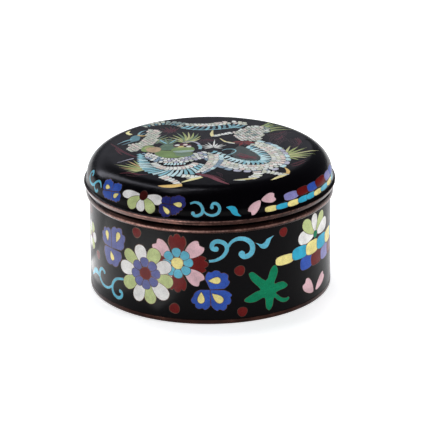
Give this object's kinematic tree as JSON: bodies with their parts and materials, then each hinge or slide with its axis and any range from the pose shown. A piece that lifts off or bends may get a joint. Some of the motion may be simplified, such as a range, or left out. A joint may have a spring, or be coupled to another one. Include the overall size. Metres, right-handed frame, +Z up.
{
  "type": "enamel lidded box",
  "caption": "Round enamel box on copper with a domed lift-off lid, bare copper rims and an inner collar that locates the lid; flower bands and a dragon on black.",
  "frame": {"origin": "middle of the foot ring's flat underside", "axes": "+Z up through the lid; the turned shape is the same all round, and the painted front faces -Y"},
  "size_m": [0.102, 0.102, 0.0571],
  "materials": {
    "copper": "brown worn copper, satin, rubbed brighter along its edges",
    "enamel": "glossy black enamel with coloured cells between thin copper wires"
  },
  "bodies": {
    "root": {"copper_base": "copper", "base_enamel": "enamel", "copper_lid": "copper", "lid_enamel": "enamel"}
  },
  "joints": []
}
